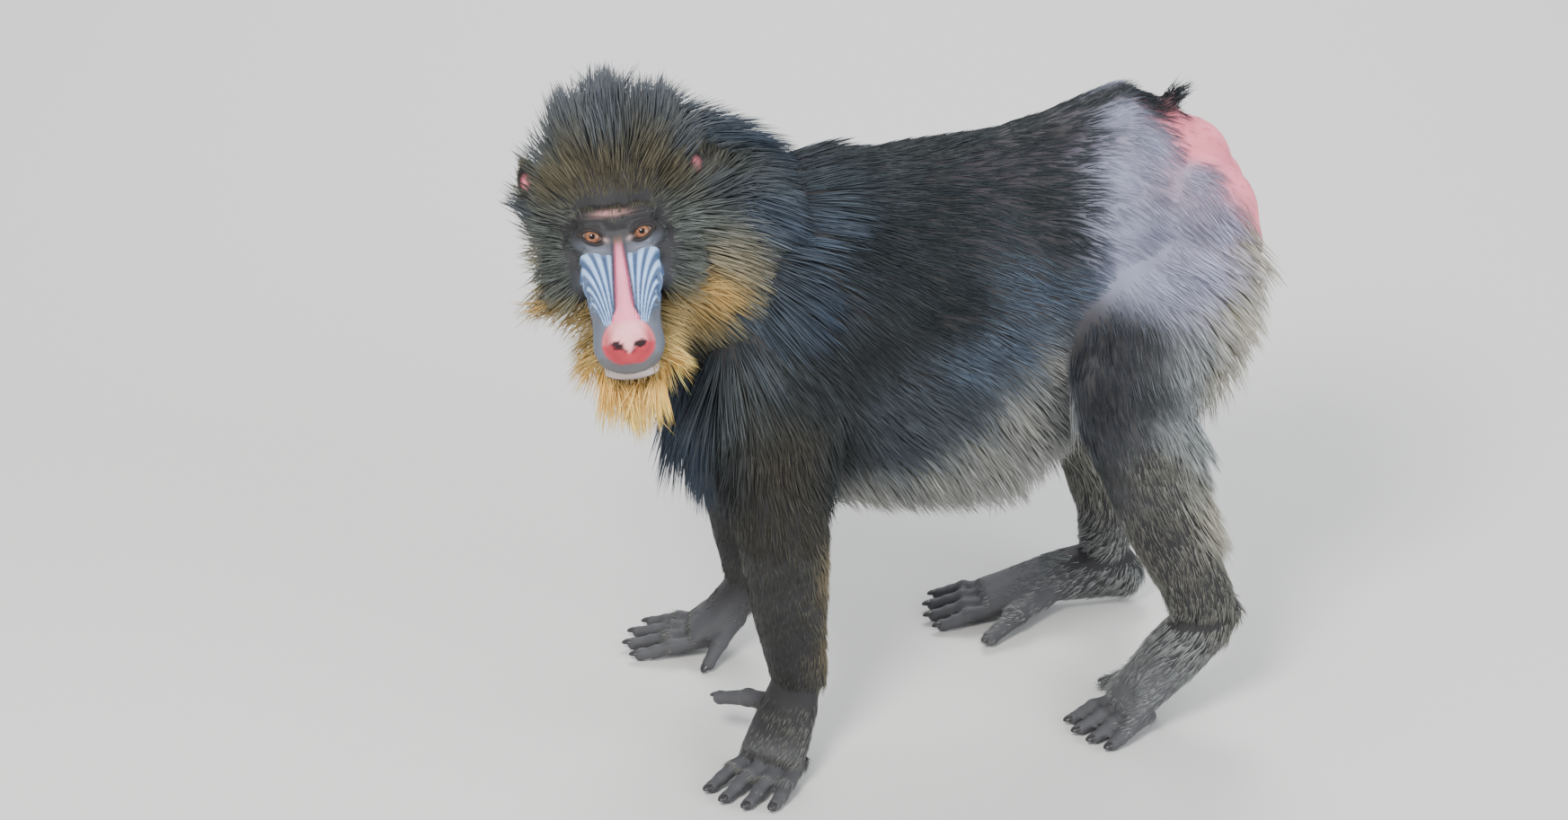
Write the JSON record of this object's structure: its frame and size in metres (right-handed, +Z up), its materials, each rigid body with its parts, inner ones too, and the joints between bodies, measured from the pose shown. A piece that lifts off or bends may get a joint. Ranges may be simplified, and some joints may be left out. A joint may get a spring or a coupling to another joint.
{
  "type": "mandrill",
  "caption": "Adult male mandrill standing on all fours, head turned to its left, with crest, ruff, beard, ridged muzzle, short tail and bare rump pads.",
  "frame": {"origin": "centre of the bounding box at the floor, under the animal", "axes": "+X towards the rump, -Y towards the animal's left side, +Z up from the floor"},
  "size_m": [0.747, 0.431, 0.6844],
  "materials": {
    "coat_head": "dense matte hair",
    "coat_mane": "long matte hair",
    "coat_back": "speckled matte hair",
    "coat_rump": "thin pale hair over skin",
    "coat_limb": "short matte hair",
    "skin_dark": "bare creased skin",
    "skin_pink": "bare soft skin",
    "skin_red": "bare smooth skin",
    "eye": "wet gloss"
  },
  "bodies": {
    "root": {"head": "coat_head", "eye_left": "eye", "eye_right": "eye", "ear_left": "skin_pink", "ear_right": "skin_pink", "neck": "coat_mane", "chest": "coat_back", "abdomen": "coat_back", "rump": "coat_rump", "ischial_pad_left": "skin_red", "ischial_pad_right": "skin_red", "upper_arm_left": "coat_mane", "forearm_left": "coat_limb", "hand_left": "skin_dark", "upper_arm_right": "coat_mane", "forearm_right": "coat_limb", "hand_right": "skin_dark", "thigh_left": "coat_limb", "shank_left": "coat_limb", "foot_left": "skin_dark", "thigh_right": "coat_limb", "shank_right": "coat_limb", "foot_right": "skin_dark", "tail": "coat_back"}
  },
  "joints": []
}
